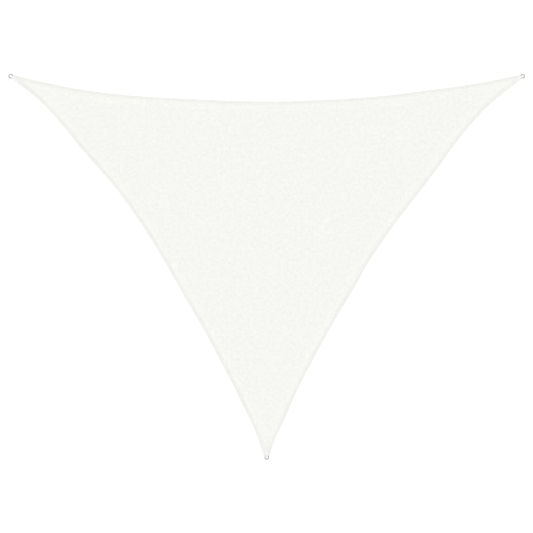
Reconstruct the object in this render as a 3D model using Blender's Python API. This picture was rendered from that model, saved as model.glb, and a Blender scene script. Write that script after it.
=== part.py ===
"""A triangular shade sail laid out flat, in metres, +Z up.

One panel of knitted shade cloth with a hem round its three hollow sides. At each corner a webbing
strap is folded through the straight bar of a steel D ring and sewn to both faces of the cloth.

The long side lies at +Y and the foot of the triangle at -Y. The sail rests on the plane z = 0,
and the origin is under the middle of its bounding box.
"""

from math import asin, cos, pi, radians, sin, sqrt

import bmesh
import bpy
from mathutils import Matrix, Vector
from mathutils.geometry import delaunay_2d_cdt

MM = 0.001
SMOOTH_BELOW = radians(40)

# The triangle of the rings' centres.
LONG_SIDE = 5.000
SHORT_SIDE = 4.485

# The cloth.
CLOTH = 1.2 * MM
HEM_THICKNESS = 3.0 * MM
HEM_WIDTH = 35 * MM
HEM_STEP = 2 * MM  # run of the slope from the hem's top down to the panel
POINTS_A_SIDE = 44
CLOTH_END = 20 * MM  # from a ring's centre back to the cut end of the corner
CORNER_TURN_IN = 140 * MM  # from a ring's centre to where the turned-in corner stops
END_HALF_WIDTH = {"left": 21 * MM, "right": 21 * MM, "foot": 33 * MM}
SAME_POINT = 0.001 * MM  # plan points nearer than this are one

# The straps.
GAP = 0.3 * MM  # between pieces that touch
WEBBING = 1.6 * MM
STRAP_WIDTH = 25 * MM
STRAP_TAIL = 96 * MM  # from a ring's centre to the sewn ends of the webbing
FOLD_STEPS = 14
DESCENT = 13 * MM  # length over which the upper layer comes down from the bar to the cloth
DESCENT_STEPS = 7

# The D rings: a half circle, two short legs and a straight bar.
WIRE = 6 * MM
WIRE_SIDES = 12
BOW_RADIUS = 17 * MM  # to the middle of the wire
BOW_STEPS = 15  # an odd number, so that one flat faces the middle of the bar
BAR_SETBACK = 15 * MM  # from the centre of the bow to the bar
BAR_BEND = 5 * MM
BEND_STEPS = 4
# The bar lies on the strap's lower layer. The corners of the wire's section reach a little past
# its radius, so it gets half a gap more.
BAR_HEIGHT = WEBBING + GAP + WIRE / 2 + GAP / 2
BOW_CLEARANCE = 0.05 * MM  # keeps the tipped bow's lowest corner just above the ground

# The cloth is lifted by the lower layer of the strap and comes down past its end.
LIFT = WEBBING + GAP
LIFT_FULL_TO = STRAP_TAIL + 3 * MM
LIFT_RUN = 60 * MM
LIFT_STEPS = 5

# How far each side is hollowed, in from the straight line between its two rings.
# Columns: share of the side's length, hollow in millimetres.
LONG_HOLLOW = (  # from the left ring to the right ring
    (0.02, 10),
    (0.06, 57),
    (0.11, 109),
    (0.17, 156),
    (0.24, 193),
    (0.32, 217),
    (0.41, 238),
    (0.50, 250),
    (0.58, 240),
    (0.66, 221),
    (0.74, 188),
    (0.81, 145),
    (0.87, 104),
    (0.92, 64),
    (0.96, 24),
)
LEFT_HOLLOW = (  # from the left ring to the foot ring
    (0.02, 14),
    (0.06, 76),
    (0.11, 124),
    (0.16, 154),
    (0.21, 172),
    (0.27, 206),
    (0.33, 238),
    (0.40, 252),
    (0.47, 248),
    (0.54, 231),
    (0.61, 206),
    (0.68, 186),
    (0.75, 158),
    (0.82, 123),
    (0.89, 80),
    (0.95, 35),
    (0.986, -5),
)
RIGHT_HOLLOW = (  # from the foot ring to the right ring
    (0.014, -4),
    (0.04, 28),
    (0.09, 63),
    (0.15, 112),
    (0.22, 150),
    (0.29, 181),
    (0.36, 203),
    (0.42, 215),
    (0.47, 237),
    (0.53, 238),
    (0.59, 229),
    (0.66, 208),
    (0.72, 191),
    (0.79, 181),
    (0.84, 162),
    (0.89, 131),
    (0.94, 73),
    (0.98, 13),
)


# ---------------------------------------------------------------- layout


def ring_centres():
    """The centres of the three rings in plan, with the middle of the long side at the origin."""
    depth = sqrt(SHORT_SIDE**2 - (LONG_SIDE / 2) ** 2)
    return {
        "left": Vector((-LONG_SIDE / 2, 0)),
        "right": Vector((LONG_SIDE / 2, 0)),
        "foot": Vector((0, -depth)),
    }


def outward_directions(centres):
    """For each corner, the way its ring pulls: out along the bisector of its two sides."""
    found = {}
    for name, here in centres.items():
        sides = [(there - here).normalized() for other, there in centres.items() if other != name]
        found[name] = -(sides[0] + sides[1]).normalized()
    return found


CENTRES = ring_centres()
OUTWARD = outward_directions(CENTRES)


def inward_distance(corner, point):
    """How far a plan point lies inside a ring's centre, measured along the corner's bisector."""
    return -(point - CENTRES[corner]).dot(OUTWARD[corner])


def smooth_step(share):
    share = min(max(share, 0.0), 1.0)
    return share * share * (3 - 2 * share)


def lift_at(point):
    """Height of the cloth's underside: flat on the ground, and up on a strap at each corner."""
    past_strap = [(inward_distance(c, point) - LIFT_FULL_TO) / LIFT_RUN for c in CENTRES]
    return LIFT * (1 - smooth_step(min(past_strap)))


# ---------------------------------------------------------------- outline of the cloth


def smooth_value(rows, x):
    """Reads a table of (x, y) rows on a smooth curve through all of them."""
    last = len(rows) - 1
    i = max(k for k in range(last) if rows[k][0] <= x or k == 0)

    def slope(k):
        low, high = rows[max(k - 1, 0)], rows[min(k + 1, last)]
        return (high[1] - low[1]) / (high[0] - low[0])

    (x0, y0), (x1, y1) = rows[i], rows[i + 1]
    width = x1 - x0
    t = (x - x0) / width
    return (
        y0 * (1 + 2 * t) * (1 - t) ** 2
        + slope(i) * width * t * (1 - t) ** 2
        + y1 * t * t * (3 - 2 * t)
        - slope(i + 1) * width * t * t * (1 - t)
    )


def corner_end(corner, toward):
    """The end of a corner's cut edge on the side of the next corner."""
    out = OUTWARD[corner]
    across = Vector((-out.y, out.x))
    if (CENTRES[toward] - CENTRES[corner]).dot(across) < 0:
        across = -across
    return CENTRES[corner] - out * CLOTH_END + across * END_HALF_WIDTH[corner]


def side_points(start, end, hollow):
    """Plan points along one hollow side, from the cut end of one corner to that of the next."""
    origin = CENTRES[start]
    chord = CENTRES[end] - origin
    length = chord.length
    along = chord / length
    inward = Vector((along.y, -along.x))
    if (CENTRES["left"] + CENTRES["right"] + CENTRES["foot"] - 3 * origin).dot(inward) < 0:
        inward = -inward

    def as_row(point):
        return ((point - origin).dot(along) / length, (point - origin).dot(inward))

    first, last = as_row(corner_end(start, end)), as_row(corner_end(end, start))
    rows = [first, *((share, depth * MM) for share, depth in hollow), last]
    points = []
    for k in range(POINTS_A_SIDE + 1):
        # Closer together near the corners, where the outline turns most.
        share = first[0] + (last[0] - first[0]) * (1 - cos(pi * k / POINTS_A_SIDE)) / 2
        points.append(origin + along * share * length + inward * smooth_value(rows, share))
    return points


def outline():
    """The whole outline, once round, anticlockwise seen from above."""
    return (
        side_points("left", "foot", LEFT_HOLLOW)
        + side_points("foot", "right", RIGHT_HOLLOW)
        + list(reversed(side_points("left", "right", LONG_HOLLOW)))
    )


def edge_distance(point, loop):
    """Distance from a plan point to a closed outline."""
    nearest = float("inf")
    for a, b in zip(loop, loop[1:] + loop[:1]):
        run = b - a
        t = min(max((point - a).dot(run) / run.length_squared, 0.0), 1.0)
        nearest = min(nearest, (point - a - run * t).length)
    return nearest


def inset_loop(loop, width):
    """The outline moved in by a width, and cut square where the turned-in corners stop."""
    moved = []
    for before, here, after in zip(loop[-1:] + loop[:-1], loop, loop[1:] + loop[:1]):
        way = (here - before).normalized() + (after - here).normalized()
        inward = Vector((-way.y, way.x)).normalized()
        moved.append(here + inward * width)
    stop = CORNER_TURN_IN + width - HEM_WIDTH
    kept = []
    for k, point in enumerate(moved):
        if min(inward_distance(c, point) for c in CENTRES) >= stop:
            kept.append(point)
            continue
        # Where the loop crosses a corner's cut line, a point is put on that line.
        for other in (moved[k - 1], moved[(k + 1) % len(moved)]):
            corner = min(CENTRES, key=lambda c: inward_distance(c, point))
            far, near = inward_distance(corner, other), inward_distance(corner, point)
            if far >= stop:
                kept.append(point.lerp(other, (stop - near) / (far - near)))
    return kept


# ---------------------------------------------------------------- meshes


def material(name, colour, roughness, metallic=0.0):
    made = bpy.data.materials.new(name)
    made.use_nodes = True
    shader = made.node_tree.nodes["Principled BSDF"]
    shader.inputs["Base Color"].default_value = (*colour, 1.0)
    shader.inputs["Roughness"].default_value = roughness
    shader.inputs["Metallic"].default_value = metallic
    return made


def bmesh_of(vertices, faces):
    work = bmesh.new()
    corners = [work.verts.new(place) for place in vertices]
    for face in faces:
        work.faces.new([corners[k] for k in face])
    return work


def add_object(name, work, look, smooth_below=None):
    """A closed mesh object with its faces pointing out."""
    bmesh.ops.recalc_face_normals(work, faces=work.faces)
    mesh = bpy.data.meshes.new(name)
    work.to_mesh(mesh)
    work.free()
    mesh.materials.append(look)
    if smooth_below is not None:
        mesh.shade_smooth()
        mesh.set_sharp_from_angle(angle=smooth_below)
    made = bpy.data.objects.new(name, mesh)
    bpy.context.scene.collection.objects.link(made)
    return made


def corner_frame(corner):
    """Local axes of a corner: +X out along the bisector, +Z up, origin under the ring's centre."""
    out = OUTWARD[corner]
    turn = Matrix(((out.x, -out.y, 0), (out.y, out.x, 0), (0, 0, 1))).to_4x4()
    return Matrix.Translation(CENTRES[corner].to_3d()) @ turn


# ---------------------------------------------------------------- cloth


def lift_rows(loop):
    """Plan points on lines across each corner, so that the cloth can come down past the strap."""
    rows = []
    for corner in CENTRES:
        out = OUTWARD[corner]
        across = Vector((-out.y, out.x))
        for step in range(LIFT_STEPS + 1):
            inward = LIFT_FULL_TO + LIFT_RUN * step / LIFT_STEPS
            ends = []
            for a, b in zip(loop, loop[1:] + loop[:1]):
                near, far = inward_distance(corner, a), inward_distance(corner, b)
                if (near - inward) * (far - inward) < 0:
                    ends.append(a.lerp(b, (inward - near) / (far - near)))
            ends.sort(key=lambda p: p.dot(across))
            rows.append((ends[0], ends[-1]))
    return rows


def cloth_mesh():
    """The sheet: one plan triangulation, raised to an underside and a top."""
    edge = outline()
    hem_inside = inset_loop(edge, HEM_WIDTH)
    panel_edge = inset_loop(edge, HEM_WIDTH + HEM_STEP)
    points, edges = [], []
    for loop in (edge, hem_inside, panel_edge):
        start = len(points)
        points += loop
        edges += [(start + k, start + (k + 1) % len(loop)) for k in range(len(loop))]
    for row in lift_rows(edge):
        edges.append((len(points), len(points) + 1))
        points += row
    inside_only = 1  # leaves out the triangles outside the outline
    plan, _, triangles, *_ = delaunay_2d_cdt(points, edges, [], inside_only, SAME_POINT)

    def thickness(point):
        in_turn_in = min(inward_distance(c, point) for c in CENTRES) < CORNER_TURN_IN + HEM_STEP / 2
        in_hem = edge_distance(point, edge) < HEM_WIDTH + HEM_STEP / 2
        return HEM_THICKNESS if in_turn_in or in_hem else CLOTH

    under = [(p.x, p.y, lift_at(p)) for p in plan]
    over = [(x, y, z + thickness(Vector((x, y)))) for x, y, z in under]
    count = len(plan)
    faces = [tuple(reversed(t)) for t in triangles]
    faces += [tuple(k + count for k in t) for t in triangles]
    sides = {(t[k], t[(k + 1) % 3]) for t in triangles for k in range(3)}
    faces += [(a, b, b + count, a + count) for a, b in sides if (b, a) not in sides]
    return bmesh_of(under + over, faces)


# ---------------------------------------------------------------- strap


def folded_line(radius, seat):
    """One face of the folded webbing from the side: under the bar, round it and down to a seat."""
    line = []
    for k in range(FOLD_STEPS + 1):
        turn = -pi / 2 + pi * k / FOLD_STEPS
        line.append((-BAR_SETBACK + radius * cos(turn), BAR_HEIGHT + radius * sin(turn)))
    for k in range(1, DESCENT_STEPS + 1):
        share = k / DESCENT_STEPS
        top = BAR_HEIGHT + radius
        line.append((-BAR_SETBACK - DESCENT * share, top + (seat - top) * smooth_step(share)))
    return [(-STRAP_TAIL, BAR_HEIGHT - radius), *line, (-STRAP_TAIL, seat)]


def strap_mesh():
    """The webbing's folded section, extruded across the strap."""
    upper_seat = LIFT + HEM_THICKNESS + GAP
    outside = folded_line(BAR_HEIGHT, upper_seat + WEBBING)
    inside = folded_line(BAR_HEIGHT - WEBBING, upper_seat)
    section = outside + inside[::-1]
    work = bmesh.new()
    face = work.faces.new([work.verts.new((x, -STRAP_WIDTH / 2, z)) for x, z in section])
    grown = bmesh.ops.extrude_face_region(work, geom=[face])["geom"]
    moved = [item for item in grown if isinstance(item, bmesh.types.BMVert)]
    bmesh.ops.translate(work, verts=moved, vec=(0, STRAP_WIDTH, 0))
    return work


# ---------------------------------------------------------------- ring


def ring_path():
    """The middle of the wire, once round, as (point, outward direction) in the ring's plane."""
    leg = BAR_SETBACK - BAR_BEND
    width = BOW_RADIUS - BAR_BEND
    path = []

    def arc(centre, radius, start, sweep, steps):
        for k in range(steps + 1):
            turn = start + sweep * k / steps
            way = Vector((cos(turn), sin(turn)))
            path.append((centre + radius * way, way))

    arc(Vector((0, 0)), BOW_RADIUS, -pi / 2, pi, BOW_STEPS)
    arc(Vector((-leg, width)), BAR_BEND, pi / 2, pi / 2, BEND_STEPS)
    arc(Vector((-leg, -width)), BAR_BEND, pi, pi / 2, BEND_STEPS)
    return path


def ring_mesh():
    """The bent wire, with a flat of its section facing out, in, up and down."""
    corner_radius = WIRE / 2 / cos(pi / WIRE_SIDES)
    path = ring_path()
    vertices = []
    for point, way in path:
        for side in range(WIRE_SIDES):
            turn = 2 * pi * (side + 0.5) / WIRE_SIDES
            place = point + way * corner_radius * cos(turn)
            vertices.append((place.x, place.y, corner_radius * sin(turn)))
    faces = []
    for k in range(len(path)):
        here, after = k * WIRE_SIDES, (k + 1) % len(path) * WIRE_SIDES
        for side in range(WIRE_SIDES):
            other = (side + 1) % WIRE_SIDES
            faces.append((here + side, after + side, after + other, here + other))
    return bmesh_of(vertices, faces)


def ring_placement():
    """From the ring's own plane to its corner's frame: tipped about the bar, bow on the ground."""
    drop = BAR_HEIGHT - WIRE / 2 - BOW_CLEARANCE
    tip = asin(drop / (BOW_RADIUS + BAR_SETBACK))
    return (
        Matrix.Translation((-BAR_SETBACK, 0, BAR_HEIGHT))
        @ Matrix.Rotation(tip, 4, "Y")
        @ Matrix.Translation((BAR_SETBACK, 0, 0))
    )


# ---------------------------------------------------------------- the sail


def clear_scene():
    for old in list(bpy.data.objects):
        bpy.data.objects.remove(old, do_unlink=True)


def plan_box_centre(objects):
    corners = [o.matrix_world @ v.co for o in objects for v in o.data.vertices]
    xs, ys = [c.x for c in corners], [c.y for c in corners]
    return Vector(((min(xs) + max(xs)) / 2, (min(ys) + max(ys)) / 2, 0))


def build():
    clear_scene()
    cloth_look = material("shade_cloth_white", (0.90, 0.91, 0.87), 0.85)
    strap_look = material("strap_webbing_white", (0.86, 0.86, 0.88), 0.80)
    steel_look = material("ring_steel", (0.62, 0.62, 0.63), 0.28, metallic=1.0)

    placed = [(add_object("sail_cloth", cloth_mesh(), cloth_look), Matrix())]
    for corner in CENTRES:
        frame = corner_frame(corner)
        strap = add_object(f"strap_{corner}", strap_mesh(), strap_look, SMOOTH_BELOW)
        ring = add_object(f"ring_{corner}", ring_mesh(), steel_look, SMOOTH_BELOW)
        placed += [(strap, frame), (ring, frame @ ring_placement())]

    sail = bpy.data.objects.new("shade_sail", None)
    bpy.context.scene.collection.objects.link(sail)
    for piece, place in placed:
        piece.parent = sail
        piece.matrix_local = place
    bpy.context.view_layer.update()
    sail.location = -plan_box_centre([piece for piece, _ in placed])


build()
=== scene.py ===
"""The looks of the shade sail: knitted cloth, turned hems, seams, webbing straps and steel rings.

Metres, +Z up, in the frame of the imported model. The sail lies on the floor, its long side at +Y,
and the camera looks straight down on it. Plan points are rows (x, y) of numpy arrays.
"""

from math import asin, cos, pi, radians, sin

import bmesh
import bpy
import numpy as np
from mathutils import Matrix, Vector
from mathutils.geometry import delaunay_2d_cdt
from mathutils.kdtree import KDTree


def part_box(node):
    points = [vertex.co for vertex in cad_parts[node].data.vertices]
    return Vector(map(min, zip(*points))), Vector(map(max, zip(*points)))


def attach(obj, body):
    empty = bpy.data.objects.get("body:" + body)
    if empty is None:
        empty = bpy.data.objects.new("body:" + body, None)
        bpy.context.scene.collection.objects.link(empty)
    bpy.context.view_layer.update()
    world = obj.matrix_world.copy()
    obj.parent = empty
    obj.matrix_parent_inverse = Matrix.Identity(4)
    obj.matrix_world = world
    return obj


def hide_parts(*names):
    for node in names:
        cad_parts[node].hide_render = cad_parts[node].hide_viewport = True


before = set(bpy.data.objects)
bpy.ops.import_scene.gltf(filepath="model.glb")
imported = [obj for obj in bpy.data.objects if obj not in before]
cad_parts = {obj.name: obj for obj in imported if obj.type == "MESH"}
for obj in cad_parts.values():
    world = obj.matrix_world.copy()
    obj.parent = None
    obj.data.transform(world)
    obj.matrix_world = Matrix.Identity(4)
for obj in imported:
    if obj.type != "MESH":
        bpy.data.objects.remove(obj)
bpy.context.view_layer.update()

MM = 0.001
CORNERS = ("left", "foot", "right")  # anticlockwise, as the outline runs
SIDE_AFTER = {"left": "left", "foot": "right", "right": "long"}  # the side that a corner starts

# The cloth: how thick it is in its panel, its hem and its turned-in corner, and where each ends.
PANEL = 1.0 * MM
HEM = 2.6 * MM
PATCH = 1.9 * MM
HEM_WIDTH = 35 * MM
TURN_IN = 140 * MM  # from a ring's centre to where the turned-in corner stops
EDGE_ROLL = 1.3 * MM  # how far in the rounding of the outer fold reaches
FOLD_ROUND = 1.3 * MM  # the same at the hem's inner fold
HEM_CROWN = 0.35 * MM  # how far the hem puffs up between its fold and its seam
LIFT = 1.9 * MM  # the corner of the cloth lies on the strap's lower layer
# Where something fades, its two lengths say from where it does and over how far.
LIFT_FADE = (3 * MM, 60 * MM)  # past the strap's end
STRAP_CLEAR = 20 * MM  # past the strap's end, where the crown and the gathers are full

# Its rows of stitches, and the gathers along the hems.
SEAM_OFFSETS = (27.5 * MM, 31.5 * MM)  # in from the edge
PATCH_SEAM = 4 * MM  # from where the turned-in corner stops to its row of stitches
SEAM_DIP = 0.4 * MM  # how deep a row of stitches pulls the cloth in
SEAM_DIP_WIDTH = 1.1 * MM
SEAM_DIP_FADE = (60 * MM, 20 * MM)  # from a ring's centre
PUCKER = 0.30 * MM  # height of the gathers across the seam
PUCKER_REACH = 13 * MM
PUCKER_SLANT = 0.35
# The waves that they are made of: (length, share, phase).
PUCKER_WAVES = ((17 * MM, 0.45, 0.0), (26 * MM, 0.35, 1.7), (41 * MM, 0.30, 3.4))
PUCKER_CHANGE = (0.4, 0.37)  # the share of their height that comes and goes, and its wave length

# Its ripples. First the broad unevenness of cloth that was folded once and is spread out again:
# (length, height, direction in degrees, phase).
SWELLS = (
    (1.90, 1.0 * MM, 12, 0.4),
    (1.35, 0.8 * MM, 71, 2.1),
    (1.05, 0.6 * MM, 128, 4.0),
    (0.74, 0.35 * MM, 38, 1.2),
    (0.58, 0.2 * MM, 158, 5.1),
)
# The waves along its edge: (length, height, phase).
EDGE_WAVES = ((0.83, 0.5 * MM, 0.3), (0.51, 0.35 * MM, 2.2), (1.37, 0.5 * MM, 4.4))
EDGE_WAVE_REACH = 0.20
EDGE_CALM = 0.35  # the share of the swells that is left at the edge, which lies close
RIDGES = 4  # low tension ridges that fan out from each corner
RIDGE_HEIGHT = 0.7 * MM
RIDGE_SPREAD = radians(50)
RIDGE_RISE = (0.15, 0.5)  # from a ring's centre
RIDGE_FADE = (0.7, 1.3)
RIPPLE_RISE = (0.17, 0.25)
TROUGH = -0.2 * MM  # below this the ripples lie flat on the floor
TROUGH_SOFTNESS = 0.8 * MM

# The cloth's mesh. Each row of points follows the edge: (distance in, every how many points).
EDGE_SPACING = 4.9 * MM
TOP_ROWS = tuple((offset * MM, stride) for offset, stride in (
    (0.35, 1), (1.0, 1), (1.8, 1), (5, 1), (11, 1), (17, 1), (22, 1), (26.2, 1), (27.5, 1),
    (28.8, 1), (30.2, 1), (31.5, 1), (32.8, 1), (33.8, 1), (34.6, 1), (35.0, 1), (36.4, 1),
    (40, 1), (46, 2), (55, 3), (68, 4),
))
BOTTOM_ROWS = ((0.35 * MM, 1), (1.8 * MM, 1), (9 * MM, 3), (30 * MM, 6))
ROW_SLACK = 0.15 * MM  # how much nearer to the edge than its row a point may be
PATCH_ROWS = tuple(inside * MM for inside in (5.3, 4.0, 2.7, 1.2, 0.4, 0.0, -1.4))
PATCH_ROWS_CLEAR = 2 * MM  # they stop this far from the hems
TOP_GRID = 22 * MM
BOTTOM_GRID = 45 * MM
GRID_PITCH = 0.866  # from row to row, in spacings
GRID_FROM = 78 * MM  # distance from the edge where the panel's own grid starts
ACROSS_CORNER = 0.2  # half the length of the rows across a corner
SAME_POINT = 0.01 * MM
SIDE_WALL = 0.5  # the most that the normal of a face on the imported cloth's edge rises or falls

# The straps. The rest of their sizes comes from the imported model.
WEBBING = 1.6 * MM
WEBBING_ROLL = 0.75 * MM  # how far in the rounding of its edges reaches
STRAP_GAP = 0.15 * MM  # between the cloth and the strap's upper layer
STRAP_SEAT = LIFT + HEM + STRAP_GAP  # underside of that layer
DESCENT = 13 * MM  # length over which the upper layer comes down from the bar
RIB = 2.2 * MM
RIB_HEIGHT = 0.09 * MM
CHEVRON = 5.0 * MM
BOX_SEAM = (-91 * MM, -36 * MM, 8.7 * MM)  # the sewn box: its two ends and its half width
CROSS_INSET = 2 * MM  # of the cross's ends in that box
SEWN_IN = 0.42 * MM  # how deep the stitches pull the webbing in
SEWN_WIDTH = 0.9 * MM
STRAP_STEP = 0.55 * MM  # of the mesh, along the webbing
STRAP_ROLL_ROWS = np.array((0.0, 0.12, 0.35, 0.7)) * MM  # in from each of its edges
STRAP_FLAT_ROWS = 23
STRAP_FLAT_FROM = 1.2 * MM
STRAP_OFF_FLOOR = 0.03 * MM

# The rings.
WIRE = 6 * MM
BAR_SETBACK = 15 * MM
BAR_BEND = 5 * MM
BAR_HEIGHT = 5.05 * MM
RING_OFF_FLOOR = 0.05 * MM
WIRE_SIDES = 24
BOW_STEPS, LEG_STEPS, BEND_STEPS, BAR_STEPS = 64, 8, 12, 24

# The thread and its stitches.
THREAD = 0.42 * MM  # radius
PLY = 0.9 * MM  # length of a turn of the twisted thread
PLY_SLANT = 0.5  # of those turns across the thread
STITCH = 4.4 * MM
STITCH_GAP = 0.8 * MM
STITCH_RISE, STITCH_SUNK = 1.5, 0.9  # how far its middle rises from its sunk ends, in radii
STITCH_ENDS, STITCH_SWELL = 0.55, 0.45  # its radius at its ends and what its middle adds
STITCH_SIDES, STITCH_STATIONS = 5, 4
STRAP_STITCH = 3.6 * MM  # from stitch to stitch
STRAP_STITCH_END = 0.3 * MM  # from a stitch to the middle of the gap
STRAP_MARGIN = 1.0 * MM  # between a strap or a hem and the stitches beside it
HEMS_CROSS = 58 * MM  # from a ring's centre to where the hems of both sides meet
PATCH_LINE = 0.1  # half the length on which the turned-in corner's row of stitches is laid out


# ---------------------------------------------------------------- plan points


def unit(vectors):
    return vectors / np.linalg.norm(vectors, axis=-1, keepdims=True)


def to_the_left(ways):
    """Plan directions, turned by a quarter to the left."""
    return ways[..., ::-1] * (-1, 1)


def lengths_along(points):
    """How far along their line each of the points lies."""
    return np.concatenate(([0.0], np.cumsum(np.linalg.norm(np.diff(points, axis=0), axis=1))))


def plan_area(loop):
    """The area inside a closed line, above zero where it runs anticlockwise."""
    after = np.roll(loop, -1, axis=0)
    return np.sum(loop[:, 0] * after[:, 1] - loop[:, 1] * after[:, 0]) / 2


def resample(points, spacing):
    """Points at an even spacing on a smooth curve through the given ones."""
    t = lengths_along(points)
    slope = np.gradient(points, t, axis=0)
    at = np.linspace(0, t[-1], round(t[-1] / spacing) + 1)
    i = np.clip(np.searchsorted(t, at, side="right") - 1, 0, len(t) - 2)
    width = (t[i + 1] - t[i])[:, None]
    x = (at - t[i])[:, None] / width
    return (
        points[i] * (1 + 2 * x) * (1 - x) ** 2
        + slope[i] * width * x * (1 - x) ** 2
        + points[i + 1] * x * x * (3 - 2 * x)
        - slope[i + 1] * width * x * x * (1 - x)
    )


class Boundary:
    """Finds the nearest place on plan lines of evenly spaced points."""

    def __init__(self, runs, closed):
        self.points = np.vstack(runs)
        count = len(self.points)
        self.after = np.roll(np.arange(count), -1)
        self.before = np.roll(np.arange(count), 1)
        if not closed:
            lasts = np.cumsum([len(run) for run in runs]) - 1
            firsts = self.after[lasts]
            self.after[lasts], self.before[firsts] = lasts, firsts
        self.inward = to_the_left(unit(self.points[self.after] - self.points[self.before]))
        self.lengths = lengths_along(self.points)
        self.tree = KDTree(count)
        for index, (x, y) in enumerate(self.points):
            self.tree.insert((x, y, 0), index)
        self.tree.balance()

    def nearest(self, points):
        """Distance to the line, nearest point on it, place along it, and whether it is inside."""
        index = np.array([self.tree.find((x, y, 0))[1] for x, y in points])
        best = np.full(len(points), np.inf)
        place = np.zeros((len(points), 2))
        for other in (self.before[index], self.after[index]):
            a, b = self.points[index], self.points[other]
            run = b - a
            length = np.maximum(np.sum(run * run, 1), SAME_POINT**2)
            t = np.clip(np.sum((points - a) * run, 1) / length, 0, 1)[:, None]
            there = a + run * t
            distance = np.linalg.norm(points - there, axis=1)
            closer = distance < best
            best[closer], place[closer] = distance[closer], there[closer]
        inside = np.sum((points - place) * self.inward[index], 1) > 0
        return best, place, self.lengths[index], inside


# ---------------------------------------------------------------- layout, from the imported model


def box_width(node):
    low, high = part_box(node)
    return high.x - low.x


RING_REACH = box_width("ring_foot") / 2  # from the centre of the bow to its outside
BOW_RADIUS = RING_REACH - WIRE / 2
STRAP_WIDTH = box_width("strap_foot")


def ring_centres():
    """Plan centres of the rings' bows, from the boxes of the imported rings."""
    reach = RING_REACH
    boxes = {corner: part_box(f"ring_{corner}") for corner in CORNERS}
    return {
        "left": np.array((boxes["left"][0].x + reach, boxes["left"][1].y - reach)),
        "foot": np.array((0.0, boxes["foot"][0].y + reach)),
        "right": np.array((boxes["right"][1].x - reach, boxes["right"][1].y - reach)),
    }


def outward_directions(centres):
    """The way each ring pulls: out along the bisector of its two sides."""
    return {
        name: -unit(sum(unit(there - here) for other, there in centres.items() if other != name))
        for name, here in centres.items()
    }


CENTRES = ring_centres()
OUTWARD = outward_directions(CENTRES)
ACROSS = {corner: to_the_left(out) for corner, out in OUTWARD.items()}
STRAP_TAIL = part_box("strap_foot")[1].y - CENTRES["foot"][1]  # from a ring's centre to the ends


def inward_distance(corner, points):
    """How far plan points lie inside a ring's centre, along the corner's bisector."""
    return (CENTRES[corner] - points) @ OUTWARD[corner]


def nearest_corner_distance(points):
    return np.min([inward_distance(corner, points) for corner in CORNERS], axis=0)


def line_across(corner, inward, half_length, step):
    """Plan points on a line square to a corner's bisector, that far in from the ring's centre."""
    steps = np.arange(-half_length, half_length, step)[:, None]
    return CENTRES[corner] - OUTWARD[corner] * inward + ACROSS[corner] * steps


def packed_outline(node):
    """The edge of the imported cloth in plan, once round, anticlockwise."""
    work = bmesh.new()
    work.from_mesh(node.data)
    bmesh.ops.remove_doubles(work, verts=work.verts, dist=SAME_POINT)
    bmesh.ops.recalc_face_normals(work, faces=work.faces)
    neighbours = {}
    for edge in work.edges:
        heights = sorted(face.normal.z for face in edge.link_faces)
        if heights[0] < -SIDE_WALL < heights[-1] < SIDE_WALL:
            a, b = edge.verts
            neighbours.setdefault(a, []).append(b)
            neighbours.setdefault(b, []).append(a)
    start = next(iter(neighbours))
    loop = [start]
    before, here = None, start
    while True:
        before, here = here, next(v for v in neighbours[here] if v is not before)
        if here is start:
            break
        loop.append(here)
    points = np.array([(v.co.x, v.co.y) for v in loop])
    work.free()
    return points if plan_area(points) > 0 else points[::-1]


def sides_of(loop):
    """Cuts the outline at its three short cut ends: {side: its smooth, evenly spaced points}."""
    middles = (loop + np.roll(loop, -1, axis=0)) / 2
    cuts = {
        corner: int(np.argmin(np.linalg.norm(middles - CENTRES[corner], axis=1)))
        for corner in CORNERS
    }
    sides = {}
    for corner, after in zip(CORNERS, CORNERS[1:] + CORNERS[:1]):
        first, last = cuts[corner] + 1, cuts[after]
        count = (last - first) % len(loop) + 1
        raw = loop[(first + np.arange(count)) % len(loop)]
        sides[SIDE_AFTER[corner]] = resample(raw, EDGE_SPACING)
    return sides


def whole_edge(sides):
    """The three sides and the cut ends between them as one closed loop."""
    runs = []
    names = list(sides)
    for name, after in zip(names, names[1:] + names[:1]):
        start, end = sides[name][-1], sides[after][0]
        steps = round(np.linalg.norm(end - start) / EDGE_SPACING)
        share = np.arange(1, steps)[:, None] / steps
        runs += [sides[name], start + (end - start) * share]
    return np.vstack(runs)


SIDES = sides_of(packed_outline(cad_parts["sail_cloth"]))
EDGE = whole_edge(SIDES)
OUTLINE = Boundary([EDGE], closed=True)
FOLDS = Boundary(list(SIDES.values()), closed=False)


# ---------------------------------------------------------------- height of the cloth


def smooth_step(x):
    x = np.clip(x, 0, 1)
    return x * x * (3 - 2 * x)


def rise(x, start, length):
    """Goes smoothly from 0 at start to 1 that length further on."""
    return smooth_step((x - start) / length)


def quarter_round(x):
    """Rises from 0 to 1 as a quarter circle does."""
    return np.sqrt(1 - (1 - np.clip(x, 0, 1)) ** 2)


def bell(x):
    return np.exp(-x * x)


def swells(points):
    """Broad straight waves added up."""
    total = 0
    for length, height, degrees, phase in SWELLS:
        way = np.array((cos(radians(degrees)), sin(radians(degrees))))
        total = total + height * np.cos(2 * pi * (points @ way) / length + phase)
    return total


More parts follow.
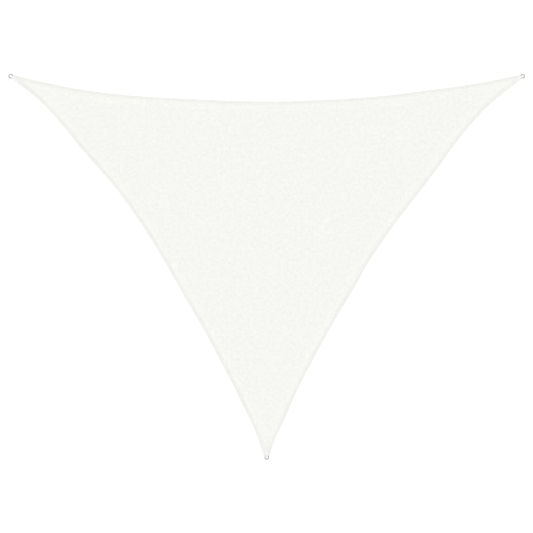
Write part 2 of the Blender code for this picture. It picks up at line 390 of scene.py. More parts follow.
def ripples(points, distance, along):
    """Low ripples of the laid cloth. They die out at the corners, and troughs touch the floor."""
    near_edge = np.exp(-distance / EDGE_WAVE_REACH)
    total = swells(points) * (1 - (1 - EDGE_CALM) * near_edge)
    for length, height, phase in EDGE_WAVES:
        total += near_edge * height * np.cos(2 * pi * along / length + phase)
    for number, corner in enumerate(CORNERS):
        way = points - CENTRES[corner]
        reach = np.linalg.norm(way, axis=1)
        angle = np.arctan2(way @ ACROSS[corner], inward_distance(corner, points))
        fan = np.cos(2 * pi * RIDGES * angle / RIDGE_SPREAD + number)
        strength = rise(reach, *RIDGE_RISE) * (1 - rise(reach, *RIDGE_FADE))
        total += RIDGE_HEIGHT * strength * fan
    above = total - TROUGH
    lifted = (above + np.sqrt(above**2 + TROUGH_SOFTNESS**2)) / 2
    return lifted * rise(nearest_corner_distance(points), *RIPPLE_RISE)


def gathers(distance, along):
    """The small folds that the stitches draw across a hem's seam, as shares of their height."""
    middle = (SEAM_OFFSETS[0] + SEAM_OFFSETS[1]) / 2
    skewed = along + PUCKER_SLANT * (distance - middle)
    gather = sum(
        share * np.cos(2 * pi * skewed / length + phase) for length, share, phase in PUCKER_WAVES
    )
    change, change_length = PUCKER_CHANGE
    uneven = 1 - change + change * np.cos(2 * pi * along / change_length)
    return gather, uneven, bell((distance - middle) / PUCKER_REACH)


def cloth_heights(points):
    """Underside and top of the cloth, with each point's distance from its side and its fold."""
    rim = OUTLINE.nearest(points)[0]
    distance, fold, along, _ = FOLDS.nearest(points)
    from_corner = nearest_corner_distance(points)
    hem = quarter_round((HEM_WIDTH - distance) / FOLD_ROUND)
    patch = quarter_round((TURN_IN - from_corner) / FOLD_ROUND)
    thickness = PANEL + np.maximum((HEM - PANEL) * hem, (PATCH - PANEL) * patch)
    lift = LIFT * (1 - rise(from_corner - STRAP_TAIL, *LIFT_FADE))
    base = lift + ripples(points, rim, along)
    roll = quarter_round(rim / EDGE_ROLL)
    under = base + thickness / 2 * (1 - roll)
    top = base + thickness / 2 * (1 + roll)

    clear_of_strap = rise(from_corner, STRAP_TAIL, STRAP_CLEAR)
    crown = np.sin(pi * np.clip(distance / SEAM_OFFSETS[0], 0, 1))
    top += HEM_CROWN * crown * clear_of_strap
    sewn = np.max([bell((distance - offset) / SEAM_DIP_WIDTH) for offset in SEAM_OFFSETS], axis=0)
    sewn_across = bell((TURN_IN - from_corner - PATCH_SEAM) / SEAM_DIP_WIDTH) * (1 - hem)
    top -= SEAM_DIP * np.maximum(sewn, sewn_across) * rise(from_corner, *SEAM_DIP_FADE)
    gather, uneven, near_seam = gathers(distance, along)
    top += PUCKER * gather * uneven * near_seam * roll * clear_of_strap
    return under, top, distance, fold


# ---------------------------------------------------------------- meshes


def mesh_object(name, vertices, faces, look):
    mesh = bpy.data.meshes.new(name)
    mesh.from_pydata(vertices, [], faces)
    mesh.materials.append(look)
    mesh.shade_smooth()
    made = bpy.data.objects.new(name, mesh)
    bpy.context.scene.collection.objects.link(made)
    return made


def add_attribute(piece, name, values):
    """Stores a number, or a row of three, with each point of a piece, for its material."""
    kind, field = ("FLOAT_VECTOR", "vector") if values.ndim > 1 else ("FLOAT", "value")
    attribute = piece.data.attributes.new(name, kind, "POINT")
    attribute.data.foreach_set(field, values.ravel())


def tube_faces(stations, around, first=0, closed=False):
    """The faces between rings of points that follow each other, once round or end to end."""
    faces = []
    for station in range(stations if closed else stations - 1):
        a = first + station * around
        b = first + (station + 1) % stations * around
        for k in range(around):
            other = (k + 1) % around
            faces.append((a + k, b + k, b + other, a + other))
    return faces


# ---------------------------------------------------------------- the cloth


def edge_rows(rows):
    """Plan points on lines that follow the edge inside it, and the edges that join them."""
    count = len(EDGE)
    points = [EDGE]
    edges = [(k, (k + 1) % count) for k in range(count)]
    for offset, stride in rows:
        picked = np.arange(0, len(EDGE), stride)
        row = EDGE[picked] + OUTLINE.inward[picked] * offset
        free = OUTLINE.nearest(row)[0] > offset - ROW_SLACK
        number = count + np.cumsum(free) - 1
        for k in np.flatnonzero(free & np.roll(free, -1)):
            edges.append((int(number[k]), int(number[(k + 1) % len(row)])))
        points.append(row[free])
        count += int(free.sum())
    return np.vstack(points), edges


def panel_grid(spacing):
    """A staggered grid of plan points over the panel."""
    low, high = EDGE.min(0), EDGE.max(0)
    rows = []
    for k, y in enumerate(np.arange(low[1], high[1], spacing * GRID_PITCH)):
        xs = np.arange(low[0] + (k % 2) * spacing / 2, high[0], spacing)
        rows.append(np.column_stack((xs, np.full(len(xs), y))))
    points = np.vstack(rows)
    distance, _, _, inside = OUTLINE.nearest(points)
    return points[inside & (distance > GRID_FROM)]


def patch_rows():
    """Plan points on lines across each corner where the turned-in corner stops, and their edges."""
    points, edges = [], []
    for corner in CORNERS:
        for inside in PATCH_ROWS:
            row = line_across(corner, TURN_IN - inside, ACROSS_CORNER, EDGE_SPACING)
            distance, _, _, within = OUTLINE.nearest(row)
            row = row[within & (distance > HEM_WIDTH + PATCH_ROWS_CLEAR)]
            first = sum(len(p) for p in points)
            edges += [(first + k, first + k + 1) for k in range(len(row) - 1)]
            points.append(row)
    return np.vstack(points), edges


def triangulate(points, edges):
    """A plan triangulation inside the outline: points, triangles, and where each edge point is."""
    inside_only = 1
    plan, _, triangles, came_from, *_ = delaunay_2d_cdt(
        [Vector(p) for p in points], edges, [], inside_only, SAME_POINT
    )
    rim = np.zeros(len(EDGE), int)
    for k, sources in enumerate(came_from):
        for source in sources:
            if source < len(EDGE):
                rim[source] = k
    return np.array([(p.x, p.y) for p in plan]), np.array(triangles), rim


def build_cloth(look):
    """A closed sheet: a fine top, a coarser underside, one shared edge."""
    row_points, edges = edge_rows(TOP_ROWS)
    cross_points, cross_edges = patch_rows()
    first = len(row_points)
    edges += [(a + first, b + first) for a, b in cross_edges]
    points = np.vstack((row_points, cross_points, panel_grid(TOP_GRID)))
    plan, triangles, rim = triangulate(points, edges)
    _, top, distance, fold = cloth_heights(plan)

    under_points, under_edges = edge_rows(BOTTOM_ROWS)
    under_points = np.vstack((under_points, panel_grid(BOTTOM_GRID)))
    under_plan, under_triangles, under_rim = triangulate(under_points, under_edges)
    under, _, under_distance, under_fold = cloth_heights(under_plan)
    number = np.arange(len(under_plan)) + len(plan)
    number[under_rim] = rim
    faces = triangles.tolist() + number[under_triangles][:, ::-1].tolist()

    plan = np.vstack((plan, under_plan))
    vertices = np.column_stack((plan, np.concatenate((top, under))))
    sail = mesh_object("knitted_sail", vertices, faces, look)
    add_attribute(sail, "from_edge", np.concatenate((distance, under_distance)))
    # Where this bit of a hem lay before it was turned in, for the run of its knit.
    turned = 2 * np.vstack((fold, under_fold)) - plan
    add_attribute(sail, "turned", np.column_stack((turned, np.zeros(len(turned)))))
    drop_loose_points(sail)
    return sail


def drop_loose_points(piece):
    """Removes the underside's own edge points, whose places the top's have taken."""
    work = bmesh.new()
    work.from_mesh(piece.data)
    bmesh.ops.delete(work, geom=[v for v in work.verts if not v.link_faces], context="VERTS")
    work.to_mesh(piece.data)
    work.free()


# ---------------------------------------------------------------- stitches


def stitch_rows(name, starts, ends, look):
    """Short tubes of thread from start to end that rise in the middle and sink in at both ends."""
    sides, stations = STITCH_SIDES, STITCH_STATIONS
    share = np.linspace(0, 1, stations)
    arch = np.sin(pi * share)
    way = ends - starts
    along = unit(way)
    across = unit(np.cross((0.0, 0.0, 1.0), along))
    normal = np.cross(along, across)
    height = THREAD * (STITCH_RISE * arch - STITCH_SUNK)
    centre = starts[:, None] + way[:, None] * share[None, :, None]
    centre = centre + normal[:, None] * height[None, :, None]
    radius = THREAD * (STITCH_ENDS + STITCH_SWELL * arch)
    turn = 2 * pi * np.arange(sides) / sides
    spoke = (
        across[:, None, None] * np.cos(turn)[None, None, :, None]
        + normal[:, None, None] * np.sin(turn)[None, None, :, None]
    )
    places = centre[:, :, None] + spoke * radius[None, :, None, None]
    faces = []
    for k in range(len(starts)):
        first = k * sides * stations
        last = first + (stations - 1) * sides
        faces += [(a, d, c, b) for a, b, c, d in tube_faces(stations, sides, first)]
        faces.append(tuple(first + side for side in reversed(range(sides))))
        faces.append(tuple(last + side for side in range(sides)))
    stitches = mesh_object(name, places.reshape(-1, 3), faces, look)
    run = np.linalg.norm(way, axis=1)[:, None] * share
    twist = run[:, :, None] / PLY + PLY_SLANT * np.cos(turn)  # in turns
    add_attribute(stitches, "twist", twist.ravel())
    return stitches


def stitches_on_line(line):
    """Start and end points of the stitches along a plan line, on top of the cloth."""
    t = lengths_along(line)
    first = np.arange(0, t[-1] - STITCH, STITCH + STITCH_GAP)
    found = []
    for at in (first, first + STITCH):
        plan = np.column_stack([np.interp(at, t, line[:, k]) for k in range(2)])
        top = cloth_heights(plan)[1]
        found.append(np.column_stack((plan, top)))
    return found


def under_strap(points):
    """Which points lie under one of the straps, or within a hair of it."""
    plan = points[:, :2]
    covered = np.zeros(len(plan), bool)
    for corner in CORNERS:
        aside = np.abs((plan - CENTRES[corner]) @ ACROSS[corner])
        beside = aside < STRAP_WIDTH / 2 + STRAP_MARGIN
        covered |= beside & (inward_distance(corner, plan) < STRAP_TAIL + STRAP_MARGIN)
    return covered


def build_hem_seams(look):
    """Two rows of stitches along each side, up to the straps."""
    made = []
    for name, side in SIDES.items():
        inward = to_the_left(unit(np.gradient(side, axis=0)))
        starts, ends = [], []
        for offset in SEAM_OFFSETS:
            line = side + inward * offset
            line = line[nearest_corner_distance(line) > HEMS_CROSS]
            begin, finish = stitches_on_line(line)
            shown = ~under_strap(begin) & ~under_strap(finish)
            starts.append(begin[shown])
            ends.append(finish[shown])
        made.append(stitch_rows(f"hem_seam_{name}", np.vstack(starts), np.vstack(ends), look))
    return made


def build_patch_seam(corner, look):
    """The row of stitches that holds the turned-in corner, between the two hems."""
    line = line_across(corner, TURN_IN - PATCH_SEAM, PATCH_LINE, MM)
    distance, _, _, inside = FOLDS.nearest(line)
    line = line[inside & (distance > HEM_WIDTH + STRAP_MARGIN)]
    starts, ends = stitches_on_line(line)
    return stitch_rows(f"patch_seam_{corner}", starts, ends, look)


# ---------------------------------------------------------------- straps


def to_corner(corner, local):
    """Moves local points, +X out along the bisector from the ring's centre, to their corner."""
    plan = CENTRES[corner] + local[..., :1] * OUTWARD[corner] + local[..., 1:2] * ACROSS[corner]
    return np.concatenate((plan, local[..., 2:]), axis=-1)


def strap_line():
    """The middle of the webbing seen from the side, from the lower tail to the upper one."""
    step = STRAP_STEP
    radius = BAR_HEIGHT - WEBBING / 2
    low = np.arange(-STRAP_TAIL, -BAR_SETBACK, step)
    turn = np.linspace(-pi / 2, pi / 2, round(pi * radius / step) + 1)
    share = np.linspace(0, 1, round(DESCENT / step) + 1)[1:]
    top, seat = BAR_HEIGHT + radius, STRAP_SEAT + WEBBING / 2
    flat = np.arange(-BAR_SETBACK - DESCENT - step, -STRAP_TAIL, -step)
    return np.vstack((
        np.column_stack((low, np.full(len(low), WEBBING / 2))),
        np.column_stack((-BAR_SETBACK + radius * np.cos(turn), BAR_HEIGHT + radius * np.sin(turn))),
        np.column_stack((-BAR_SETBACK - DESCENT * share, top + (seat - top) * smooth_step(share))),
        np.column_stack((flat, np.full(len(flat), seat))),
    ))


def box_seam_lines():
    """The sewn box with its cross, as plan lines in the corner's frame."""
    far, near, half = BOX_SEAM
    corners = [(far, -half), (near, -half), (near, half), (far, half), (far, -half)]
    box = [np.array(ends) for ends in zip(corners, corners[1:])]
    far, near, half = far + CROSS_INSET, near - CROSS_INSET, half - CROSS_INSET
    cross = [np.array(((far, -side * half), (near, side * half))) for side in (1, -1)]
    return box + cross


def distance_to_lines(points, lines):
    best = np.full(points.shape[:-1], np.inf)
    for a, b in lines:
        run = b - a
        t = np.clip((points - a) @ run / (run @ run), 0, 1)[..., None]
        best = np.minimum(best, np.linalg.norm(points - a - run * t, axis=-1))
    return best


def build_strap(corner, look):
    """Woven webbing with ribs in chevrons and rolled edges, drawn in where it is sewn."""
    line = strap_line()
    way = unit(np.gradient(line, axis=0))
    out = np.column_stack((way[:, 1], -way[:, 0]))  # away from the bar
    length = lengths_along(line)
    half = STRAP_WIDTH / 2
    flat = half - STRAP_FLAT_FROM
    across = np.concatenate((
        half - STRAP_ROLL_ROWS,
        np.linspace(flat, -flat, STRAP_FLAT_ROWS),
        STRAP_ROLL_ROWS[::-1] - half,
    ))
    roll = quarter_round((half - np.abs(across)) / WEBBING_ROLL)
    zigzag = np.abs((across / CHEVRON) % 1 - 0.5) * CHEVRON
    rib = RIB_HEIGHT * np.cos(2 * pi * (length[:, None] + zigzag) / RIB)
    thick = WEBBING / 2 * roll + rib * roll**2
    plan = np.stack(np.broadcast_arrays(line[:, :1], across), axis=-1)
    upper_layer = line[:, 1:] > BAR_HEIGHT
    sewn = SEWN_IN * bell(distance_to_lines(plan, box_seam_lines()) / SEWN_WIDTH) * upper_layer
    across_all = np.broadcast_to(across[:, None], (*thick.shape, 1))
    layers = []
    for offset in (thick - sewn, -thick):
        place = line[:, None] + out[:, None] * offset[..., None]
        layers.append(np.concatenate((place[..., :1], across_all, place[..., 1:]), axis=-1))
    # Each station of the line is one closed ring of points: the outer face, then the inner one
    # back, without its two end points, which are those of the outer face.
    outer, inner = layers
    rings = np.concatenate((outer, inner[:, -2:0:-1]), axis=1)
    rings[..., 2] = np.maximum(rings[..., 2], STRAP_OFF_FLOOR)
    stations, around = rings.shape[:2]
    faces = tube_faces(stations, around)
    faces.append(tuple(range(around)))
    last = (stations - 1) * around
    faces.append(tuple(last + k for k in reversed(range(around))))
    strap = mesh_object(f"webbing_{corner}", to_corner(corner, rings).reshape(-1, 3), faces, look)
    strap.data.polygons[-1].use_smooth = strap.data.polygons[-2].use_smooth = False
    weave = np.concatenate((across, across[-2:0:-1]))
    uv = np.stack(np.broadcast_arrays(length[:, None], weave), axis=-1).reshape(-1, 2)
    layer = strap.data.uv_layers.new(name="weave")
    used = np.array([loop.vertex_index for loop in strap.data.loops])
    layer.data.foreach_set("uv", uv[used].astype(np.float32).ravel())
    return strap


def build_strap_seam(corner, look):
    """The sewn box and cross on the upper layer of a strap."""
    height = STRAP_SEAT + WEBBING - SEWN_IN / 2
    starts, ends = [], []
    for line in box_seam_lines():
        length = np.linalg.norm(line[1] - line[0])
        pitch = length / round(length / STRAP_STITCH)
        way = unit(line[1] - line[0])
        first = np.arange(0, length - pitch / 2, pitch)[:, None]
        begin, finish = first + STRAP_STITCH_END, first + pitch - STRAP_STITCH_END
        for found, at in ((starts, begin), (ends, finish)):
            plan = line[0] + way * at
            found.append(np.column_stack((plan, np.full(len(plan), height))))
    starts, ends = (to_corner(corner, np.vstack(found)) for found in (starts, ends))
    return stitch_rows(f"strap_seam_{corner}", starts, ends, look)


# ---------------------------------------------------------------- rings


def ring_path():
    """The middle of the wire, once round, as points and outward directions in the ring's plane."""
    leg, width = BAR_SETBACK - BAR_BEND, BOW_RADIUS - BAR_BEND
    points, ways = [], []

    def arc(centre, radius, start, sweep, steps):
        for k in range(steps + 1):
            turn = start + sweep * k / steps
            way = np.array((cos(turn), sin(turn)))
            points.append(np.array(centre) + radius * way)
            ways.append(way)

    def straight(start, end, way, steps):
        for k in range(1, steps):
            points.append(np.array(start) + (np.array(end) - np.array(start)) * k / steps)
            ways.append(np.array(way, float))

    arc((0, 0), BOW_RADIUS, -pi / 2, pi, BOW_STEPS)
    straight((0, BOW_RADIUS), (-leg, BOW_RADIUS), (0, 1), LEG_STEPS)
    arc((-leg, width), BAR_BEND, pi / 2, pi / 2, BEND_STEPS)
    straight((-BAR_SETBACK, width), (-BAR_SETBACK, -width), (-1, 0), BAR_STEPS)
    arc((-leg, -width), BAR_BEND, pi, pi / 2, BEND_STEPS)
    straight((-leg, -BOW_RADIUS), (0, -BOW_RADIUS), (0, -1), LEG_STEPS)
    return np.array(points), np.array(ways)


def build_ring(corner, look):
    """A round wire bent to a D, tipped about its bar so that the bow lies on the floor."""
    points, ways = ring_path()
    turn = 2 * pi * np.arange(WIRE_SIDES) / WIRE_SIDES
    radius = WIRE / 2
    flat = points[:, None] + ways[:, None] * (radius * np.cos(turn))[None, :, None]
    height = np.broadcast_to(radius * np.sin(turn), flat.shape[:2])
    tip = asin((BAR_HEIGHT - radius - RING_OFF_FLOOR) / (BOW_RADIUS + BAR_SETBACK))
    x, y = flat[..., 0] + BAR_SETBACK, flat[..., 1]
    tipped = np.stack(
        (x * cos(tip) + height * sin(tip) - BAR_SETBACK, y, height * cos(tip) - x * sin(tip)),
        axis=-1,
    )
    tipped[..., 2] += BAR_HEIGHT
    faces = tube_faces(len(points), WIRE_SIDES, closed=True)
    return mesh_object(f"d_ring_{corner}", to_corner(corner, tipped).reshape(-1, 3), faces, look)


# ---------------------------------------------------------------- materials


def set_stops(ramp, stops):
    """Gives a colour ramp its stops, as (position, grey value)."""
    for position, _ in stops[1:-1]:
        ramp.elements.new(position)
    for element, (position, value) in zip(ramp.elements, stops):
        element.position = position
        element.color = (value, value, value, 1)


class Look:
    """A node material that is built from formulas."""

    def __init__(self, name, **sockets):
        self.material = bpy.data.materials.new(name)
        self.material.use_nodes = True
        self.tree = self.material.node_tree
        self.shader = self.tree.nodes["Principled BSDF"]
        for socket, value in sockets.items():
            self.shader.inputs[socket.replace("_", " ")].default_value = value

    def node(self, kind, **settings):
        made = self.tree.nodes.new("ShaderNode" + kind)
        for key, value in settings.items():
            setattr(made, key, value)
        return made

    def put(self, socket, value):
        if isinstance(value, bpy.types.NodeSocket):
            self.tree.links.new(value, socket)
        else:
            socket.default_value = value

    def math(self, operation, a, b=0.0):
        made = self.node("Math", operation=operation)
        for socket, value in zip(made.inputs, (a, b)):
            self.put(socket, value)
        return made.outputs[0]

    def add(self, a, b):
        return self.math("ADD", a, b)

    def sub(self, a, b):
        return self.math("SUBTRACT", a, b)

    def mul(self, a, b):
        return self.math("MULTIPLY", a, b)

    def varied(self, value, pattern, amount):
        """A value plus a pattern between 0 and 1, which moves it by that amount in all."""
        return self.add(value, self.mul(self.sub(pattern, 0.5), amount))

    def ramp(self, value, low, high, start=0.0, end=1.0):
        """Goes smoothly from start to end as the value goes from low to high."""
        made = self.node("MapRange", interpolation_type="SMOOTHSTEP")
        for socket, given in zip(made.inputs, (value, low, high, start, end)):
            self.put(socket, given)
        return made.outputs[0]

    def noise(self, vector, scale, detail=2.0, roughness=0.5):
        made = self.node("TexNoise", noise_dimensions="3D")
        self.put(made.inputs["Vector"], vector)
        made.inputs["Scale"].default_value = scale
        made.inputs["Detail"].default_value = detail
        made.inputs["Roughness"].default_value = roughness
        return made.outputs["Fac"]

    def stretched(self, vector, scale):
        made = self.node("VectorMath", operation="MULTIPLY")
        self.put(made.inputs[0], vector)
        made.inputs[1].default_value = scale
        return made.outputs[0]

    def split(self, vector):
        made = self.node("SeparateXYZ")
        self.put(made.inputs[0], vector)
        return made.outputs

    def tinted(self, colour, strength):
        """A colour times a grey value."""
        made = self.node("VectorMath", operation="SCALE")
        self.put(made.inputs[0], colour)
        self.put(made.inputs["Scale"], strength)
        return made.outputs[0]

    def mixed(self, share, a, b):
        """Goes from vector a to vector b. A mix node has sockets of its own for vectors."""
        made = self.node("Mix", data_type="VECTOR")
        for number, value in ((0, share), (4, a), (5, b)):
            self.put(made.inputs[number], value)
        return made.outputs[1]

    def finish(self, colour, height, depth, strength, roughness=None):
        """Gives the shader its colour, and a bump of that depth where the height goes to 1."""
        self.put(self.shader.inputs["Base Color"], colour)
        if roughness is not None:
            self.put(self.shader.inputs["Roughness"], roughness)
        bump = self.node("Bump")
        bump.inputs["Strength"].default_value = strength
        bump.inputs["Distance"].default_value = depth
        self.put(bump.inputs["Height"], height)
        self.put(self.shader.inputs["Normal"], bump.outputs[0])
        return self.material


# The knit. Its chains and tapes are drawn in shares of the distance between two chains, and a
# flank is given as its foot and its brow, out from the middle.
CLOTH_COLOUR = (0.841, 0.847, 0.810)
WALE = 3.0 * MM  # between the chains
COURSE = 2.4 * MM  # from loop to loop along a chain
DRIFT = 5.0  # how often per metre the chains and courses wander
WALE_DRIFT, COURSE_DRIFT = 1.6, 2.2  # and how far, in wales and courses
CHAIN_FLANK = (0.08, 0.22)
LOOP_SLANT = 1.3  # how far the flanks of a loop lie back, in courses to a wale
LOOP_LOW, LOOP_RISE = 0.55, 0.45  # a chain's height between its loops, and what a loop adds
TAPE_FLANK = (0.06, 0.27)
TAPE_TOPS = (0.72, 0.60)
KNIT_BUMP = 0.5 * MM
HOLE_PAINTED_SHADE, YARN_SHADE = (0.05, 0.84), (0.60, 1.03)  # painted shade by height, dark holes as if in shadow and light yarn tops: (height, tone)

# How much its tone varies, with the size of each pattern. The broad patches are painted shade of
# the cloth's low swells; the grain, streaks and loops vary at random.
GRAIN, GRAIN_CHANGE = 27 * MM, 0.168
# Broad patches of painted shade, for the shading of the cloth's low swells.
SWELL_SHADE_SIZE, SWELL_PAINTED_SHADE = 240 * MM, 0.023
STREAK_WIDTH, STREAK_LENGTH, STREAK_CHANGE = 5 * MM, 160 * MM, 0.030
CELL_CHANGE = 0.05  # from one loop to the next
HEM_SIDE_LIGHT_REACH = (65 * MM, 130 * MM)  # the panel is painted lighter along its hems, where it is drawn flat: painted light
HEM_SIDE_PAINTED_LIGHT = 0.012

# Its hems, whose layers are denser, are painted darker: painted shade for the light that their
# layers keep from shining through from behind. The share of that colour, by the distance from the
# edge.
HEM_SHADED_COLOUR = (0.793, 0.788, 0.762)
HEM_SHADE_REACH = 50 * MM
HEM_PAINTED_SHADE = ((0.0, 0.90), (0.30, 1.0), (0.46, 0.62), (0.66, 0.45), (0.74, 0.0))


def knit_height(look, column, row, drift):
    """Chains of loops with flat tapes laid zigzag between them."""
    column = look.add(column, look.mul(drift, WALE_DRIFT))
    row = look.add(row, look.mul(drift, COURSE_DRIFT))
    from_chain = look.math("ABSOLUTE", look.sub(look.math("FRACT", column), 0.5))
    slanted = look.add(row, look.mul(from_chain, LOOP_SLANT))
    loop = look.math("SINE", look.mul(look.math("FRACT", slanted), pi))
    chain = look.ramp(from_chain, *CHAIN_FLANK, 1.0, 0.0)
    chain = look.mul(chain, look.add(look.mul(loop, LOOP_RISE), LOOP_LOW))
    between = look.math("FRACT", look.add(column, 0.5))
    zigzag = look.math("PINGPONG", row, 1.0)
    tapes = []
    for line, top in zip((zigzag, look.sub(1.0, zigzag)), TAPE_TOPS):
        off = look.math("ABSOLUTE", look.sub(between, line))
        tapes.append(look.ramp(off, *TAPE_FLANK, top, 0.0))
    height = look.math("MAXIMUM", chain, look.math("MAXIMUM", *tapes))
    return height, column, row


def knit_tone_and_painted_light(look, cloth, column, row, from_edge):
    """How much lighter or darker the cloth is from place to place, around 0: random tone, broad
    painted shade of its swells, and painted light along its hems.
    """
    cell = look.node("TexWhiteNoise", noise_dimensions="2D")
    corner = look.node("CombineXYZ")
    look.put(corner.inputs[0], look.math("FLOOR", column))
    look.put(corner.inputs[1], look.math("FLOOR", row))
    look.put(cell.inputs["Vector"], corner.outputs[0])
    grain = look.noise(cloth, 1 / GRAIN, detail=1.0)
    fine, long = 1 / STREAK_WIDTH, 1 / STREAK_LENGTH
    wales = look.noise(look.stretched(cloth, (fine, long, 1.0)), 1.0, detail=1.0)
    courses = look.noise(look.stretched(cloth, (long, fine, 1.0)), 1.0, detail=1.0)
    swell_shade = look.noise(cloth, 1 / SWELL_SHADE_SIZE, detail=3.0)
    uneven = look.mul(look.sub(grain, 0.5), GRAIN_CHANGE)
    # Painted shade of the swells: broad lighter and darker patches.
    uneven = look.varied(uneven, swell_shade, SWELL_PAINTED_SHADE)
    # Painted light: lighter along the hems, where the panel is drawn flat.
    uneven = look.add(uneven, look.ramp(from_edge, *HEM_SIDE_LIGHT_REACH, HEM_SIDE_PAINTED_LIGHT, 0.0))
    uneven = look.varied(uneven, wales, STREAK_CHANGE)
    uneven = look.varied(uneven, courses, STREAK_CHANGE)
    return look.varied(uneven, cell.outputs["Value"], CELL_CHANGE)


def knit_look():
    """Warp-knitted shade cloth, which runs on under its hems as it did before they were turned."""
    look = Look("knitted_shade_cloth", Roughness=0.62, Specular_IOR_Level=0.35)
    place = look.node("TexCoord").outputs["Object"]
    from_edge = look.node("Attribute", attribute_name="from_edge").outputs["Fac"]
    turned = look.node("Attribute", attribute_name="turned").outputs["Vector"]
    in_hem = look.math("LESS_THAN", from_edge, HEM_WIDTH)
    cloth = look.mixed(in_hem, place, turned)

    drift = look.noise(cloth, DRIFT, detail=1.0)
    x, y, _ = look.split(cloth)
    across, along = look.mul(x, 1 / WALE), look.mul(y, 1 / COURSE)
    height, column, row = knit_height(look, across, along, drift)
    uneven = knit_tone_and_painted_light(look, cloth, column, row, from_edge)
    # Painted shade by height: the holes and the flanks of the yarns darker, the yarn's tops
    # lighter.
    (low, hole_shade_tone), (high, yarn_tone) = HOLE_PAINTED_SHADE, YARN_SHADE
    knit_depth_shade = look.ramp(height, low, high, hole_shade_tone, yarn_tone)
    strength = look.mul(knit_depth_shade, look.add(uneven, 1.0))
    # Painted shade: the hems are darker towards their edge, where no light shines through their
    # layers from behind.
    hem_shade = look.node("ValToRGB")
    look.put(hem_shade.inputs["Fac"], look.mul(from_edge, 1 / HEM_SHADE_REACH))
    set_stops(hem_shade.color_ramp, HEM_PAINTED_SHADE)
    base = look.mixed(hem_shade.outputs["Color"], CLOTH_COLOUR, HEM_SHADED_COLOUR)
    return look.finish(look.tinted(base, strength), height, depth=KNIT_BUMP, strength=0.5)


WEBBING_COLOUR = (0.872, 0.872, 0.882)
WEBBING_BUMP = 0.15 * MM
YARN = 0.85 * MM  # between the webbing's lengthwise yarns
FUZZ = 1.2 * MM
SOILING = 14 * MM
RIB_SHARE, YARN_SHARE = 0.5, 0.25  # of the height
WEBBING_TONE = 0.93
WEAVE_PAINTED_SHADE, FUZZ_TONE, SOILING_TONE = 0.05, 0.10, 0.06  # how much each changes the tone; the weave's is painted shade in its grooves


def webbing_look():
    """Woven polyester: chevron ribs across, fine yarns along."""
    look = Look("woven_webbing", Roughness=0.55, Specular_IOR_Level=0.4, Sheen_Weight=0.15)
    weave = look.node("UVMap", uv_map="weave").outputs[0]
    along, across, _ = look.split(weave)
    from_middle = look.sub(look.math("FRACT", look.mul(across, 1 / CHEVRON)), 0.5)
    zigzag = look.mul(look.math("ABSOLUTE", from_middle), CHEVRON)
    rib = look.math("SINE", look.mul(look.add(along, zigzag), 2 * pi / RIB))
    yarn = look.math("SINE", look.mul(across, 2 * pi / YARN))
    height = look.add(look.mul(rib, RIB_SHARE), look.mul(yarn, YARN_SHARE))
    fine, coarse = 1 / FUZZ, 1 / SOILING
    fuzz = look.noise(look.stretched(weave, (fine, fine, 1.0)), 1.0, detail=3.0)
    soiling = look.noise(look.stretched(weave, (coarse, coarse, 1.0)), 1.0)
    # Painted shade: darker in the grooves between the ribs and yarns, lighter on their crests.
    shade = look.add(WEBBING_TONE, look.mul(height, WEAVE_PAINTED_SHADE))
    shade = look.varied(shade, fuzz, FUZZ_TONE)
    shade = look.varied(shade, soiling, SOILING_TONE)
    colour = look.tinted(WEBBING_COLOUR, shade)
    return look.finish(colour, look.add(height, fuzz), depth=WEBBING_BUMP, strength=0.6)


# The thread is white; its colour is painted darker, as painted shade around the stitches.
THREAD_SHADED_COLOUR = (0.79, 0.79, 0.76)
THREAD_BUMP = 0.1 * MM
THREAD_FUZZ = 0.3 * MM
PLY_SHARE, THREAD_FUZZ_SHARE = 0.5, 0.2  # of the height
# The ply's share is painted shade in the grooves of the twist.
THREAD_TONE, PLY_PAINTED_SHADE = 0.97, 0.10


def thread_look():
    """Twisted polyester sewing thread."""
    look = Look("sewing_thread", Roughness=0.45, Specular_IOR_Level=0.45)
    twist = look.node("Attribute", attribute_name="twist").outputs["Fac"]
    place = look.node("TexCoord").outputs["Object"]
    fuzz = look.noise(place, 1 / THREAD_FUZZ)
    ply = look.math("SINE", look.mul(twist, 2 * pi))
    height = look.add(look.mul(ply, PLY_SHARE), look.mul(fuzz, THREAD_FUZZ_SHARE))
    # Painted shade: darker in the grooves of the twist, lighter on its crests.
    shade = look.add(THREAD_TONE, look.mul(height, PLY_PAINTED_SHADE))
    return look.finish(look.tinted(THREAD_SHADED_COLOUR, shade), height, depth=THREAD_BUMP, strength=0.5)


STEEL_COLOUR = (0.38, 0.38, 0.39)
STEEL_BUMP = 0.05 * MM
STEEL_PATCHES = 180  # per metre
SCRATCHES = (2600, 300, 900)  # per metre, along X, Y and Z
BRIGHT_PATCH, DULL_PATCH = (0.35, 0.14), (0.7, 0.26)  # (noise, roughness)
SCRATCH_ROUGHNESS = 0.10
STEEL_TONE, PATCH_TONE = 0.94, 0.12


def steel_look():
    """Bent and tumbled stainless steel wire: small scratches and dull patches."""
    look = Look("stainless_steel", Metallic=1.0)
    place = look.node("TexCoord").outputs["Object"]
    patches = look.noise(place, STEEL_PATCHES, detail=3.0)
    scratches = look.noise(look.stretched(place, SCRATCHES), 1.0, detail=2.0, roughness=0.7)
    (low, bright), (high, dull) = BRIGHT_PATCH, DULL_PATCH
    roughness = look.ramp(patches, low, high, bright, dull)
    roughness = look.varied(roughness, scratches, SCRATCH_ROUGHNESS)
    shade = look.add(STEEL_TONE, look.mul(patches, PATCH_TONE))
    colour = look.tinted(STEEL_COLOUR, shade)
    return look.finish(colour, scratches, depth=STEEL_BUMP, strength=0.2, roughness=roughness)


# ---------------------------------------------------------------- floor, light and camera


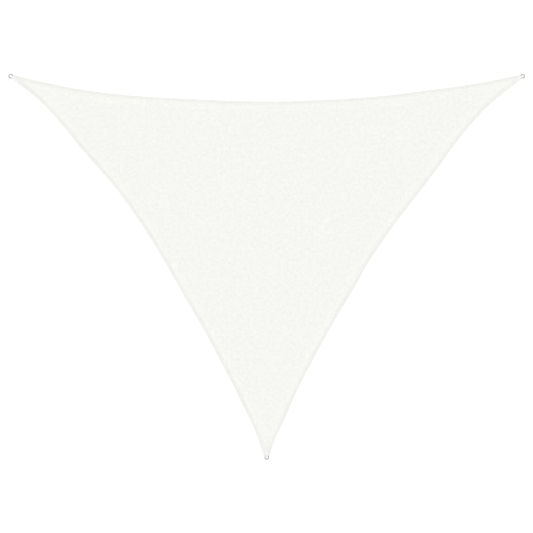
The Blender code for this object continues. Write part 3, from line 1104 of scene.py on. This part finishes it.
FLOOR_DEPTH = 0.3 * MM  # below the sail's underside, so that the two don't flicker
FLOOR_HALF = 150
FLOOR_ALBEDO = 0.93
# The studio's walls and its overhead soft box: (height of the direction, brightness).
STUDIO = ((0.16, 1.06), (0.50, 0.20), (0.955, 0.10), (0.985, 2.0))
LAMP_ENERGY = 2.572
LAMP_WIDTH = radians(60)
LAMP_TURN = (radians(12), radians(-12), 0)  # from straight above towards the lower left
FRAME_WIDTH = 5.203  # metres of floor across the photograph
VIEW_CENTRE = (-0.002, 0.003)
VIEW_LIMIT = 500  # metres
LENS = 85
SENSOR = 36


def build_floor():
    grey = (FLOOR_ALBEDO, FLOOR_ALBEDO, FLOOR_ALBEDO, 1)
    look = Look("pale_floor", Base_Color=grey, Roughness=0.9, Specular_IOR_Level=0.0)
    quarter_turns = ((-1, -1), (1, -1), (1, 1), (-1, 1))
    corners = [(x * FLOOR_HALF, y * FLOOR_HALF, -FLOOR_DEPTH) for x, y in quarter_turns]
    mesh_object("floor", corners, [(0, 1, 2, 3)], look.material)


def build_light():
    """A wide soft lamp, in a studio that is dim but for its pale walls and its soft box."""
    world = bpy.data.worlds.new("studio")
    bpy.context.scene.world = world
    world.use_nodes = True
    tree = world.node_tree
    sky = tree.nodes.new("ShaderNodeValToRGB")
    split = tree.nodes.new("ShaderNodeSeparateXYZ")
    tree.links.new(tree.nodes.new("ShaderNodeTexCoord").outputs["Generated"], split.inputs[0])
    tree.links.new(split.outputs["Z"], sky.inputs["Fac"])
    tree.links.new(sky.outputs["Color"], tree.nodes["Background"].inputs["Color"])
    set_stops(sky.color_ramp, STUDIO)

    sun = bpy.data.lights.new("soft_light", "SUN")
    sun.energy = LAMP_ENERGY
    sun.angle = LAMP_WIDTH
    lamp = bpy.data.objects.new("soft_light", sun)
    lamp.rotation_euler = LAMP_TURN
    lamp.visible_glossy = False  # the steel mirrors the studio, and not the lamp
    bpy.context.scene.collection.objects.link(lamp)


def build_camera():
    """Straight above the sail, with the photograph's up along +Y."""
    camera = bpy.data.cameras.new("camera")
    camera.lens = LENS
    camera.sensor_width = SENSOR
    camera.clip_end = VIEW_LIMIT
    made = bpy.data.objects.new("camera", camera)
    made.location = (*VIEW_CENTRE, FRAME_WIDTH * LENS / SENSOR)
    bpy.context.scene.collection.objects.link(made)
    bpy.context.scene.camera = made
    bpy.context.scene.view_settings.view_transform = "Standard"


# ---------------------------------------------------------------- the sail


def build():
    build_floor()
    build_light()
    build_camera()
    thread = thread_look()
    webbing = webbing_look()
    steel = steel_look()

    sail = build_cloth(knit_look())
    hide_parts("sail_cloth")
    seams = build_hem_seams(thread)
    straps, rings = [], []
    for corner in CORNERS:
        strap = build_strap(corner, webbing)
        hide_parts(f"strap_{corner}")
        straps.append(strap)
        seams.append(build_strap_seam(corner, thread))
        seams.append(build_patch_seam(corner, thread))
        ring = build_ring(corner, steel)
        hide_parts(f"ring_{corner}")
        rings.append(ring)
    for piece in (sail, *seams, *straps, *rings):
        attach(piece, "root")


build()
